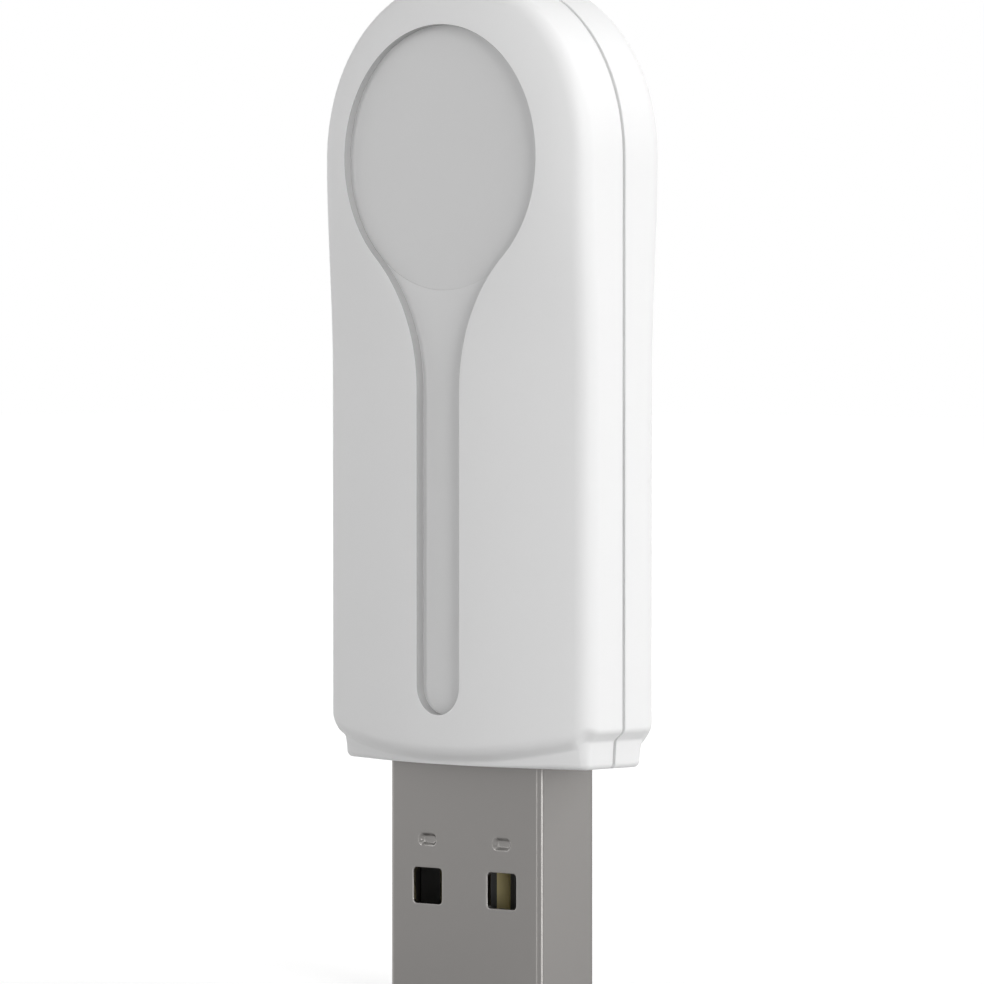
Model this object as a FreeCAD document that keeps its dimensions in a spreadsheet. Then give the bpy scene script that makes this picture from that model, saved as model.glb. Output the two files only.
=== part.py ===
import FreeCAD, Part
import math
import os

import Sketcher

# A small wireless adapter that plugs into a computer: two white moulded half shells,
# an inlaid disc, a folded steel plug and a populated circuit board between the shells.
# Millimetres. The origin is the centre of the plug's open end, +Z runs up the device,
# X is its width and the face with the recess looks along -Y.

doc = FreeCAD.newDocument("wireless_adapter")
sheet = doc.addObject("Spreadsheet::Sheet", "sizes")

SIZES = [
    # plug shell
    ("plug_width", 12.0, "outer width of the plug"),
    ("plug_height", 4.5, "outer height of the plug"),
    ("plug_sheet", 0.3, "steel sheet"),
    ("plug_bend", 0.35, "outer bend radius of the sheet"),
    ("plug_exposed", 13.5, "open end to the collar of the housing"),
    ("plug_buried", 6.0, "length of the shell inside the housing"),
    ("seam_width", 0.06, "joint of the folded sheet at the back"),
    ("window_width", 2.26, "square windows for the springs of a socket"),
    ("window_height", 2.06, "their height"),
    ("window_corner", 0.24, "their corner radius"),
    ("window_spacing", 5.88, "between their centres"),
    ("window_from_end", 6.28, "open end to their centres"),
    ("dimple_width", 1.5, "pressed obround dimples above the windows"),
    ("dimple_height", 0.85, "their height"),
    ("dimple_corner", 0.4, "radius of their round ends"),
    ("dimple_depth", 0.14, "how deep they are pressed"),
    ("dimple_from_end", 8.95, "open end to their centres"),
    ("leg_length", 2.1, "soldered legs behind the shell"),
    ("leg_front", 0.9, "reach of a leg in front of the middle"),
    ("leg_back", 1.6, "reach of a leg behind the middle"),
    # insulator and contacts
    ("insulator_gap", 0.05, "clearance of the insulator in the shell"),
    ("tongue_from_end", 0.6, "open end to the tongue"),
    ("insulator_back", 0.5, "how far the insulator stops short of the shell"),
    ("contact_width", 1.0, "contact strips"),
    ("contact_sheet", 0.25, "their thickness"),
    ("contact_proud", 0.08, "their height over the tongue"),
    ("contact_inner", 2.0, "between the two data contacts"),
    ("contact_outer", 7.0, "between the two power contacts"),
    ("power_from_end", 1.3, "open end to the power contacts"),
    ("data_from_end", 2.3, "open end to the data contacts"),
    ("tail_length", 2.2, "contact tails on the circuit board"),
    # housing, outside
    ("body_width", 20.7, "width of the housing"),
    ("body_thickness", 8.86, "thickness of the housing"),
    ("corner_radius", 1.3, "rounding between face and side"),
    ("body_flat", 1.6, "flat middle strip of the crowned face"),
    ("body_drop", 1.169, "fall of the crowned face to its corner"),
    ("head_shoulder", 3.9, "rounded shoulder round the flat head"),
    ("head_drop", 0.697, "fall of that shoulder to its corner"),
    ("head_height", 34.46, "collar to the centre of the round head"),
    ("blend_start", 22.0, "collar to where the body starts to flatten"),
    ("base_arc", 48.0, "radius of the curved lower end"),
    ("base_rise", 0.4, "end of the collar to the lowest point of that arc"),
    ("step_size", 0.72, "slanted step between body and collar"),
    ("collar_inset", 0.7, "how far the collar stands in"),
    ("collar_corner", 0.9, "corner radius of the collar"),
    ("collar_edge", 0.3, "bevel at the end of the collar"),
    ("parting_gap", 0.18, "groove seen between the half shells"),
    # recess and inlay
    ("disc_radius", 7.55, "round part of the recess"),
    ("groove_width", 3.3, "straight part of the recess"),
    ("neck_radius", 10.0, "arcs between disc and groove"),
    ("groove_end", 2.76, "collar to the lowest point of the groove"),
    ("recess_depth", 0.525, "depth of the recess"),
    ("inlay_thickness", 0.5, "thickness of the inlaid disc"),
    ("inlay_gap", 0.05, "clearance round the inlaid disc"),
    ("inlay_rim", 0.75, "how far the backing reaches past the disc"),
    ("inlay_backing", 0.5, "extra wall behind the inlaid disc"),
    # housing, inside
    ("wall", 1.2, "wall of the half shells"),
    ("wall_root", 0.1, "how far ribs and bosses run into the wall"),
    ("nose_height", 3.2, "solid end that grips the plug"),
    ("slot_gap", 0.05, "clearance round the plug in its slot"),
    ("tongue_width", 0.55, "locating tongue along the joint"),
    ("tongue_height", 0.8, "its height above the middle"),
    ("tongue_gap", 0.05, "its clearance in the rebate"),
    ("rib_width", 0.8, "moulded ribs"),
    ("stop_gap", 0.05, "plug shell to the ribs that stop it"),
    ("stop_reach", 0.25, "how far the stop ribs reach over the shell"),
    # pins and bosses
    ("pin_diameter", 1.5, "locating pins of the rear shell"),
    ("pin_gap", 0.05, "clearance round a pin"),
    ("pin_length", 1.2, "pin beyond the circuit board"),
    ("boss_diameter", 2.8, "bosses that clamp the circuit board"),
    ("pin_inset", 1.7, "edge of the circuit board to the pins"),
    ("pin_height", 29.5, "collar to the pins"),
    ("rib_low", 12.0, "collar to the lower rib behind the board"),
    ("rib_high", 22.0, "collar to the upper rib behind the board"),
    # circuit board and its parts
    ("board_edge_gap", 0.45, "clearance of the circuit board beside the wall"),
    ("board_thickness", 1.0, "thickness of the circuit board"),
    ("board_gap", 0.1, "plug shell to the edge of the board"),
    ("notch_gap", 0.1, "clearance of a leg in its notch"),
    ("row_gap", 1.0, "between rows of parts on the board"),
    ("part_gap", 0.5, "between neighbours in a row"),
    ("chip_length", 1.6, "chip resistors, capacitors and coils"),
    ("chip_width", 0.8, "their width"),
    ("chip_height", 0.6, "their height"),
    ("chip_cap", 0.35, "their metal ends"),
    ("chip_step", 0.04, "how far the ends stand over the ceramic"),
    ("bulk_length", 2.0, "larger supply capacitor"),
    ("bulk_width", 1.25, "its width"),
    ("bulk_height", 1.1, "its height"),
    ("outline_length", 2.9, "small leaded packages"),
    ("outline_width", 1.6, "width of their bodies"),
    ("outline_height", 1.1, "their height"),
    ("lead_span", 2.8, "over the tips of their leads"),
    ("lead_width", 0.4, "their leads"),
    ("lead_sheet", 0.15, "thickness of the leads"),
    ("lead_pitch", 0.95, "between leads"),
    ("radio_size", 5.0, "square radio package"),
    ("radio_height", 0.85, "its height"),
    ("mark_radius", 0.35, "round mark beside its first pad"),
    ("mark_inset", 0.65, "centre of the mark from both edges"),
    ("mark_depth", 0.1, "how deep the mark is"),
    ("crystal_length", 3.2, "crystal can"),
    ("crystal_width", 2.5, "its width"),
    ("crystal_height", 0.7, "its height"),
    ("crystal_corner", 0.25, "its corner radius"),
    ("antenna_length", 7.0, "ceramic antenna"),
    ("antenna_width", 2.0, "its width"),
    ("antenna_height", 0.8, "its height"),
    ("antenna_edge", 3.3, "end of the board to the antenna"),
]

for row, (alias, number, note) in enumerate(SIZES, start=1):
    sheet.set("A%d" % row, alias)
    sheet.set("B%d" % row, str(number))
    sheet.setAlias("B%d" % row, alias)
    sheet.set("C%d" % row, note)
doc.recompute()

SUB_PARTS = []


def value(expression):
    return float(sheet.evalExpression(expression))


def vec(x, y, z=0.0):
    return FreeCAD.Vector(x, y, z)


def keep(item, label):
    """Give a finished sub-part its name and put it on the list that is written out."""
    item.Label = label
    SUB_PARTS.append(item)
    return item


def new_body(name):
    return doc.addObject("PartDesign::Body", name)


def new_sketch(body, name, role, offset=None):
    planes = [plane for plane in body.Origin.OriginFeatures if plane.Role == role]
    sketch = body.newObject("Sketcher::SketchObject", name)
    sketch.AttachmentSupport = [(planes[0], "")]
    sketch.MapMode = "FlatFace"
    if offset is not None:
        sketch.setExpression("AttachmentOffset.Base.z", offset)
    doc.recompute()
    return sketch


def join(sketch, constraints):
    for constraint in constraints:
        sketch.addConstraint(Sketcher.Constraint(*constraint))


def dimension(sketch, kind, references, to):
    index = sketch.addConstraint(Sketcher.Constraint(kind, *references, value(to)))
    sketch.setExpression("Constraints[%d]" % index, to)


def place(sketch, geometry, position, x, z):
    """Dimension a point from the sketch's origin, on whichever side of it the point lies."""
    for kind, to in (("DistanceX", x), ("DistanceY", z)):
        if value(to) < 0:
            dimension(sketch, kind, (geometry, position, -1, 1), "-(%s)" % to)
        elif value(to) > 0:
            dimension(sketch, kind, (-1, 1, geometry, position), to)
        else:
            axis = -2 if kind == "DistanceX" else -1
            join(sketch, [("PointOnObject", geometry, position, axis)])


def polygon(sketch, points):
    """Closed outline of straight sides whose corners are pairs of expressions."""
    corners = [vec(value(x), value(z)) for x, z in points]
    lines = []
    for first, last in zip(corners, corners[1:] + corners[:1]):
        lines.append(sketch.addGeometry(Part.LineSegment(first, last)))
    for line, following in zip(lines, lines[1:] + lines[:1]):
        join(sketch, [("Coincident", line, 2, following, 1)])
    for line, (x, z) in zip(lines, points):
        place(sketch, line, 1, x, z)


def rectangle(sketch, x_low, z_low, x_high, z_high):
    polygon(sketch, [(x_low, z_low), (x_high, z_low), (x_high, z_high), (x_low, z_high)])


def circle(sketch, x, z, radius):
    ring = sketch.addGeometry(Part.Circle(vec(value(x), value(z)), vec(0, 0, 1), value(radius)))
    dimension(sketch, "Radius", (ring,), radius)
    place(sketch, ring, 3, x, z)


def pad(body, sketch, name, length, reversed=False):
    feature = body.newObject("PartDesign::Pad", name)
    feature.Profile = sketch
    feature.Reversed = reversed
    feature.setExpression("Length", length)
    doc.recompute()
    return feature


def pocket(body, sketch, name, length, reversed=False, midplane=False):
    feature = body.newObject("PartDesign::Pocket", name)
    feature.Profile = sketch
    feature.Reversed = reversed
    feature.Midplane = midplane
    feature.setExpression("Length", length)
    doc.recompute()
    return feature


def half_turn(body, kind, name, sketch):
    """Turn a section by 180 degrees about its own vertical axis, up and over."""
    feature = body.newObject("PartDesign::" + kind, name)
    feature.Profile = sketch
    feature.ReferenceAxis = (sketch, ["V_Axis"])
    feature.Angle = 180
    feature.Reversed = True
    doc.recompute()
    return feature


def bevel(body, name, base, edges, size):
    feature = body.newObject("PartDesign::Chamfer", name)
    feature.Base = (base, edges)
    feature.setExpression("Size", size)
    doc.recompute()
    return feature


def edge_names(shape, test):
    """Names of the edges that pass a test at three points along them."""
    names = []
    for index, edge in enumerate(shape.Edges, start=1):
        first, last = edge.ParameterRange
        points = [edge.valueAt(first + (last - first) * share) for share in (0.1, 0.5, 0.9)]
        if all(test(point) for point in points):
            names.append("Edge%d" % index)
    return names


def near(first, second, tolerance=1e-4):
    return abs(first - second) < tolerance


# Cross-section of the housing
# Each half has a straight side, a small corner, a shoulder arc and a flat middle strip,
# all tangent. On the body the shoulder is a wide crown, on the head it is a tight rim.

COLLAR = "sizes.plug_exposed"
HEAD = "(sizes.plug_exposed + sizes.head_height)"
BLEND = "(sizes.plug_exposed + sizes.blend_start)"

OUTSIDE = {
    "half_width": "sizes.body_width / 2",
    "depth": "sizes.body_thickness / 2",
    "corner": "sizes.corner_radius",
    "half_flat": "sizes.body_flat / 2",
    "drop": "sizes.body_drop",
    "start": "sizes.parting_gap / 2",
}
COLLAR_FORM = dict(
    OUTSIDE,
    half_width="sizes.body_width / 2 - sizes.collar_inset",
    depth="sizes.body_thickness / 2 - sizes.collar_inset",
    corner="sizes.collar_corner",
)
HEAD_FLAT = "(sizes.body_width / 2 - sizes.head_shoulder)"


def blended(form, share):
    """The section's form part of the way from the crowned body to the flat head."""
    flat = "(%s) + (%s - (%s)) * %.6f" % (form["half_flat"], HEAD_FLAT, form["half_flat"], share)
    drop = "(%s) + (sizes.head_drop - (%s)) * %.6f" % (form["drop"], form["drop"], share)
    return dict(form, half_flat=flat, drop=drop)


def half_section(body, name, height, side, form, turned=False):
    """Outline of one half of the housing, cut level at a height.

    side is -1 for the half that faces -Y and +1 for the other. A turned section is only
    the half right of the middle, which is then turned round the head.
    """
    sketch = new_sketch(body, name, "XY_Plane", height)
    half_width, depth, corner, half_flat, drop, start = (
        value(form[key]) for key in ("half_width", "depth", "corner", "half_flat", "drop", "start"))
    corner_depth = depth - corner - drop
    reach = half_width - corner - half_flat
    shoulder = (reach ** 2 + drop ** 2) / (2 * drop) + corner
    slope = math.asin(reach / (shoulder - corner))
    quarter = math.pi / 2
    begin, end = (1, 2) if side > 0 else (2, 1)

    def line(x1, y1, x2, y2):
        segment = Part.LineSegment(vec(x1, side * y1), vec(x2, side * y2))
        return sketch.addGeometry(segment)

    def arc(x, y, radius, start_angle, end_angle):
        ring = Part.Circle(vec(x, side * y), vec(0, 0, 1), radius)
        first, last = sorted((side * start_angle, side * end_angle))
        return sketch.addGeometry(Part.ArcOfCircle(ring, first, last))

    def away(geometry, position, to):
        ends = (-1, 1, geometry, position) if side > 0 else (geometry, position, -1, 1)
        dimension(sketch, "DistanceY", ends, to)

    inner = 0 if turned else -half_width
    base = line(inner, start, half_width, start)
    right = line(half_width, start, half_width, corner_depth)
    right_corner = arc(half_width - corner, corner_depth, corner, 0, quarter - slope)
    right_shoulder = arc(half_flat, depth - shoulder, shoulder, quarter - slope, quarter)
    middle = line(half_flat, depth, 0 if turned else -half_flat, depth)
    join(sketch, [
        ("Coincident", base, 2, right, 1),
        ("Tangent", right, 2, right_corner, begin),
        ("Tangent", right_corner, end, right_shoulder, begin),
        ("Tangent", right_shoulder, end, middle, 1),
        ("Vertical", right),
    ])
    if turned:
        axis = line(0, depth, 0, start)
        join(sketch, [
            ("Coincident", middle, 2, axis, 1),
            ("Coincident", axis, 2, base, 1),
            ("PointOnObject", axis, 1, -2),
            ("PointOnObject", axis, 2, -2),
            ("Horizontal", base),
            ("Horizontal", middle),
        ])
        dimension(sketch, "DistanceX", (base, 1, base, 2), form["half_width"])
        dimension(sketch, "DistanceX", (middle, 2, middle, 1), form["half_flat"])
    else:
        left_shoulder = arc(-half_flat, depth - shoulder, shoulder, quarter, quarter + slope)
        left_corner = arc(corner - half_width, corner_depth, corner, quarter + slope, 2 * quarter)
        left = line(-half_width, corner_depth, -half_width, start)
        join(sketch, [
            ("Tangent", middle, 2, left_shoulder, begin),
            ("Tangent", left_shoulder, end, left_corner, begin),
            ("Tangent", left_corner, end, left, 1),
            ("Coincident", left, 2, base, 1),
            ("Vertical", left),
            ("Symmetric", base, 1, base, 2, -2),
            ("Symmetric", middle, 1, middle, 2, -2),
            ("Equal", right_corner, left_corner),
            ("Equal", right_shoulder, left_shoulder),
        ])
        dimension(sketch, "DistanceX", (base, 1, base, 2), "2 * (%s)" % form["half_width"])
        dimension(sketch, "DistanceX", (middle, 2, middle, 1), "2 * (%s)" % form["half_flat"])
    dimension(sketch, "Radius", (right_corner,), form["corner"])
    away(base, 1, form["start"])
    away(middle, 1, form["depth"])
    away(right_corner, 3, "(%s) - (%s) - (%s)" % (form["depth"], form["corner"], form["drop"]))
    doc.recompute()
    return sketch


BLEND_STEPS = 6


def blend_sections(body, side):
    """Sections that ease from the crowned body into the flat head."""
    sections = []
    for step in range(BLEND_STEPS + 1):
        share = step / BLEND_STEPS
        eased = share * share * (3 - 2 * share)
        height = "%s + (sizes.head_height - sizes.blend_start) * %.6f" % (BLEND, share)
        sections.append(half_section(
            body, "blend_section_%d" % step, height, side, blended(OUTSIDE, eased)))
    return sections


def outer_half(body, side):
    """One half shell as a solid block with its final outside."""
    crown = half_section(body, "crown_section", COLLAR, side, OUTSIDE)
    pad(body, crown, "crowned_body", "sizes.blend_start")

    # curved lower end, cut by a region under one large arc
    under = new_sketch(body, "under_arc", "XZ_Plane")
    radius = value("sizes.base_arc")
    middle = value("sizes.plug_exposed + sizes.base_rise + sizes.base_arc")
    half = value("sizes.body_width")
    low = value("sizes.plug_exposed / 2")
    spread = math.asin(half / radius)
    shore = middle - radius * math.cos(spread)
    arc = under.addGeometry(Part.ArcOfCircle(
        Part.Circle(vec(0, middle), vec(0, 0, 1), radius),
        -math.pi / 2 - spread, -math.pi / 2 + spread))
    right = under.addGeometry(Part.LineSegment(vec(half, shore), vec(half, low)))
    floor = under.addGeometry(Part.LineSegment(vec(half, low), vec(-half, low)))
    left = under.addGeometry(Part.LineSegment(vec(-half, low), vec(-half, shore)))
    join(under, [
        ("Coincident", arc, 2, right, 1),
        ("Coincident", right, 2, floor, 1),
        ("Coincident", floor, 2, left, 1),
        ("Coincident", left, 2, arc, 1),
        ("Vertical", right),
        ("Vertical", left),
        ("Horizontal", floor),
        ("PointOnObject", arc, 3, -2),
    ])
    dimension(under, "Radius", (arc,), "sizes.base_arc")
    dimension(under, "DistanceY", (-1, 1, arc, 3),
              "sizes.plug_exposed + sizes.base_rise + sizes.base_arc")
    dimension(under, "DistanceX", (floor, 2, floor, 1), "2 * sizes.body_width")
    dimension(under, "DistanceX", (-1, 1, floor, 1), "sizes.body_width")
    dimension(under, "DistanceY", (-1, 1, floor, 1), "sizes.plug_exposed / 2")
    doc.recompute()
    cut = pocket(body, under, "curved_end", "2 * sizes.body_thickness", midplane=True)

    # slanted step all round, and the collar below it
    joint = value(OUTSIDE["start"])

    def on_rim(point):
        on_arc = near(math.hypot(point.x, point.z - middle), radius)
        return on_arc and not near(abs(point.y), joint)

    bevel(body, "step", cut, edge_names(cut.Shape, on_rim), "sizes.step_size")
    collar_section = half_section(body, "collar_section", COLLAR, side, COLLAR_FORM)
    collar = pad(body, collar_section, "collar", "sizes.base_rise + 3 * sizes.step_size")
    end = value(COLLAR)

    def on_end(point):
        return near(point.z, end) and not near(abs(point.y), joint)

    bevel(body, "collar_bevel", collar, edge_names(collar.Shape, on_end), "sizes.collar_edge")

    sections = blend_sections(body, side)
    blend = body.newObject("PartDesign::AdditiveLoft", "blend")
    blend.Profile = sections[0]
    blend.Sections = sections[1:]
    blend.Ruled = True
    doc.recompute()
    head = half_section(body, "head_section", HEAD, side, blended(OUTSIDE, 1.0), turned=True)
    return half_turn(body, "Revolution", "head", head)


# Places shared by several sub-parts

SHELL_END = "(sizes.plug_exposed + sizes.plug_buried)"
BOARD_FRONT = "(sizes.contact_proud - sizes.contact_sheet)"
BOARD_BACK = "(%s - sizes.board_thickness)" % BOARD_FRONT
BOARD_LOW = "(%s + sizes.board_gap)" % SHELL_END
CAVITY_DEPTH = "(sizes.body_thickness / 2 - sizes.wall)"
CAVITY_SIDE = "(%s - sizes.body_drop)" % CAVITY_DEPTH
CAVITY_HALF = "(sizes.body_width / 2 - sizes.wall)"
BOARD_HALF = "(%s - sizes.board_edge_gap)" % CAVITY_HALF
RECESS_FLOOR = "(sizes.body_thickness / 2 - sizes.recess_depth)"
INLAY_SEAT = "(%s - sizes.inlay_thickness)" % RECESS_FLOOR
WALL_ROOT = "(%s + sizes.wall_root)" % CAVITY_DEPTH


def cavity_section(body, name, side, turned=False):
    """Outline of the cavity at the head: upright sides and a roof that falls to them."""
    sketch = new_sketch(body, name, "XY_Plane", HEAD)
    sign = "" if side > 0 else "-"
    side_top, roof = sign + CAVITY_SIDE, sign + CAVITY_DEPTH
    flat = "(%s)" % OUTSIDE["half_flat"]
    right = [(CAVITY_HALF, "0"), (CAVITY_HALF, side_top), (flat, roof)]
    if turned:
        left = [("0", roof), ("0", "0")]
    else:
        left = [("-" + across, depth) for across, depth in reversed(right)]
    polygon(sketch, right + left)
    doc.recompute()
    return sketch


def hollow(body, side):
    """The cavity between the solid nose and the round head."""
    straight = cavity_section(body, "cavity_section", side)
    pocket(body, straight, "cavity", "sizes.head_height - sizes.nose_height")
    half_turn(body, "Groove", "cavity_head", cavity_section(body, "cavity_head_section", side, True))

PIN_HEIGHT = "(%s + sizes.pin_height)" % COLLAR


def rounded_rectangle(sketch, x, z, half_width, half_height, radius):
    """Rectangle with rounded corners about a centre, drawn as four lines and four arcs."""
    across, up = value(x), value(z)
    wide, tall, round_ = value(half_width), value(half_height), value(radius)
    corners = [(1, 1), (-1, 1), (-1, -1), (1, -1)]
    arcs = []
    for turn, (right, top) in enumerate(corners):
        centre = vec(across + right * (wide - round_), up + top * (tall - round_))
        ring = Part.Circle(centre, vec(0, 0, 1), round_)
        start = turn * math.pi / 2
        arcs.append(sketch.addGeometry(Part.ArcOfCircle(ring, start, start + math.pi / 2)))
    lines = []
    for first, last in zip(arcs, arcs[1:] + arcs[:1]):
        begin = sketch.getPoint(first, 2)
        finish = sketch.getPoint(last, 1)
        line = sketch.addGeometry(Part.LineSegment(begin, finish))
        join(sketch, [("Tangent", first, 2, line, 1), ("Tangent", line, 2, last, 1)])
        lines.append(line)
    join(sketch, [
        ("Horizontal", lines[0]),
        ("Vertical", lines[1]),
        ("Horizontal", lines[2]),
        ("Vertical", lines[3]),
        ("Equal", arcs[0], arcs[1]),
        ("Equal", arcs[1], arcs[2]),
        ("Equal", arcs[2], arcs[3]),
    ])
    dimension(sketch, "Radius", (arcs[0],), radius)
    # the upper right and lower left arc centres fix the place and both sizes
    place(sketch, arcs[0], 3, "%s + %s - (%s)" % (x, half_width, radius),
          "%s + %s - (%s)" % (z, half_height, radius))
    place(sketch, arcs[2], 3, "%s - (%s) + (%s)" % (x, half_width, radius),
          "%s - (%s) + (%s)" % (z, half_height, radius))


def spoon(sketch):
    """Outline of the recess: a disc whose neck narrows into a straight round-ended groove."""
    disc = value("sizes.disc_radius")
    half = value("sizes.groove_width / 2")
    neck = value("sizes.neck_radius")
    centre = value(HEAD)
    reach = half + neck
    neck_height = centre - math.sqrt((disc + neck) ** 2 - reach ** 2)
    lean = math.atan2(neck_height - centre, reach)
    end = value("sizes.plug_exposed + sizes.groove_end + sizes.groove_width / 2")

    def arc(x, z, radius, first, last):
        return sketch.addGeometry(
            Part.ArcOfCircle(Part.Circle(vec(x, z), vec(0, 0, 1), radius), first, last))

    def line(x, z_from, z_to):
        return sketch.addGeometry(Part.LineSegment(vec(x, z_from), vec(x, z_to)))

    disc_arc = arc(0, centre, disc, lean, math.pi - lean)
    left_neck = arc(-reach, neck_height, neck, 0, -lean)
    left_line = line(-half, neck_height, end)
    end_arc = arc(0, end, half, math.pi, 2 * math.pi)
    right_line = line(half, end, neck_height)
    right_neck = arc(reach, neck_height, neck, math.pi + lean, math.pi)
    join(sketch, [
        ("Tangent", disc_arc, 2, left_neck, 2),
        ("Tangent", left_neck, 1, left_line, 1),
        ("Tangent", left_line, 2, end_arc, 1),
        ("Tangent", end_arc, 2, right_line, 1),
        ("Tangent", right_line, 2, right_neck, 2),
        ("Tangent", right_neck, 1, disc_arc, 1),
        ("Vertical", left_line),
        ("Vertical", right_line),
        ("Equal", left_neck, right_neck),
    ])
    dimension(sketch, "Radius", (disc_arc,), "sizes.disc_radius")
    dimension(sketch, "Radius", (right_neck,), "sizes.neck_radius")
    dimension(sketch, "Radius", (end_arc,), "sizes.groove_width / 2")
    place(sketch, disc_arc, 3, "0", HEAD)
    place(sketch, end_arc, 3, "0", "sizes.plug_exposed + sizes.groove_end + sizes.groove_width / 2")


def horseshoe(sketch, outer, inner, low):
    """Band that runs up both sides and round the head, open at the plug's end."""
    wide, narrow, foot, top = (value(text) for text in (outer, inner, low, HEAD))

    def line(x1, z1, x2, z2):
        return sketch.addGeometry(Part.LineSegment(vec(x1, z1), vec(x2, z2)))

    def arch(radius):
        ring = Part.Circle(vec(0, top), vec(0, 0, 1), radius)
        return sketch.addGeometry(Part.ArcOfCircle(ring, 0, math.pi))

    outer_right = line(wide, foot, wide, top)
    outer_arch = arch(wide)
    outer_left = line(-wide, top, -wide, foot)
    left_foot = line(-wide, foot, -narrow, foot)
    inner_left = line(-narrow, foot, -narrow, top)
    inner_arch = arch(narrow)
    inner_right = line(narrow, top, narrow, foot)
    right_foot = line(narrow, foot, wide, foot)
    join(sketch, [
        ("Tangent", outer_right, 2, outer_arch, 1),
        ("Tangent", outer_arch, 2, outer_left, 1),
        ("Coincident", outer_left, 2, left_foot, 1),
        ("Coincident", left_foot, 2, inner_left, 1),
        ("Tangent", inner_left, 2, inner_arch, 2),
        ("Tangent", inner_arch, 1, inner_right, 1),
        ("Coincident", inner_right, 2, right_foot, 1),
        ("Coincident", right_foot, 2, outer_right, 1),
        ("Vertical", outer_right),
        ("Vertical", outer_left),
        ("Vertical", inner_left),
        ("Vertical", inner_right),
        ("Horizontal", left_foot),
        ("Horizontal", right_foot),
        ("Coincident", inner_arch, 3, outer_arch, 3),
    ])
    dimension(sketch, "Radius", (outer_arch,), outer)
    dimension(sketch, "Radius", (inner_arch,), inner)
    place(sketch, outer_arch, 3, "0", HEAD)
    dimension(sketch, "DistanceY", (-1, 1, outer_right, 1), low)
    dimension(sketch, "DistanceY", (-1, 1, inner_left, 1), low)


def plug_slot(body):
    """The opening in the nose that the plug shell passes through."""
    slot = new_sketch(body, "slot_outline", "XY_Plane", COLLAR)
    rounded_rectangle(slot, "0", "0", "(sizes.plug_width / 2 + sizes.slot_gap)",
                      "(sizes.plug_height / 2 + sizes.slot_gap)",
                      "(sizes.plug_bend + sizes.slot_gap)")
    doc.recompute()
    pocket(body, slot, "plug_slot", "sizes.plug_buried + sizes.stop_gap", reversed=True)


def stop_rib(body, side):
    """A rib across the cavity that the inner end of the plug shell rests against."""
    rib = new_sketch(body, "stop_outline", "XY_Plane", "%s + sizes.stop_gap" % SHELL_END)
    lip = "(sizes.plug_height / 2 - sizes.stop_reach)"
    low, high = (lip, WALL_ROOT) if side > 0 else ("-%s" % WALL_ROOT, "-%s" % lip)
    rectangle(rib, "-sizes.plug_width / 3", low, "sizes.plug_width / 3", high)
    doc.recompute()
    pad(body, rib, "stop_rib", "sizes.rib_width")


def pin_circles(body, name, plane, radius):
    sketch = new_sketch(body, name, "XZ_Plane", plane)
    for hand in ("-1", "1"):
        circle(sketch, "%s * (%s - sizes.pin_inset)" % (hand, BOARD_HALF), PIN_HEIGHT, radius)
    doc.recompute()
    return sketch


def front_shell():
    """Moulded half with the spoon-shaped recess, the sockets and the rebate of the joint."""
    body = new_body("front_shell")
    outer_half(body, -1)
    hollow(body, -1)

    backing = new_sketch(body, "backing_outline", "XZ_Plane",
                         "%s - sizes.inlay_backing" % CAVITY_DEPTH)
    circle(backing, "0", HEAD, "(sizes.disc_radius + sizes.inlay_rim)")
    doc.recompute()
    pad(body, backing, "inlay_backing", "sizes.inlay_backing + sizes.wall_root")

    bosses = pin_circles(body, "boss_outline", BOARD_FRONT, "sizes.boss_diameter / 2")
    pad(body, bosses, "bosses", "%s - %s" % (WALL_ROOT, BOARD_FRONT))
    sockets = pin_circles(body, "socket_outline", BOARD_FRONT,
                          "sizes.pin_diameter / 2 + sizes.pin_gap")
    pocket(body, sockets, "sockets", "sizes.pin_length + 4 * sizes.pin_gap", reversed=True)
    stop_rib(body, -1)
    plug_slot(body)

    rebate = new_sketch(body, "rebate_outline", "XZ_Plane", "sizes.tongue_height")
    horseshoe(rebate, "(%s + sizes.tongue_width + sizes.tongue_gap)" % CAVITY_HALF,
              "(%s - sizes.tongue_width)" % CAVITY_HALF,
              "%s + sizes.nose_height - sizes.tongue_gap" % COLLAR)
    doc.recompute()
    pocket(body, rebate, "rebate", "sizes.tongue_height")

    recess = new_sketch(body, "recess_outline", "XZ_Plane", RECESS_FLOOR)
    spoon(recess)
    doc.recompute()
    pocket(body, recess, "recess", "2 * sizes.recess_depth", reversed=True)
    seat = new_sketch(body, "seat_outline", "XZ_Plane", INLAY_SEAT)
    circle(seat, "0", HEAD, "sizes.disc_radius")
    doc.recompute()
    pocket(body, seat, "inlay_seat", "sizes.inlay_thickness + sizes.recess_depth / 2",
           reversed=True)
    return keep(body, "front_shell")


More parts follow.
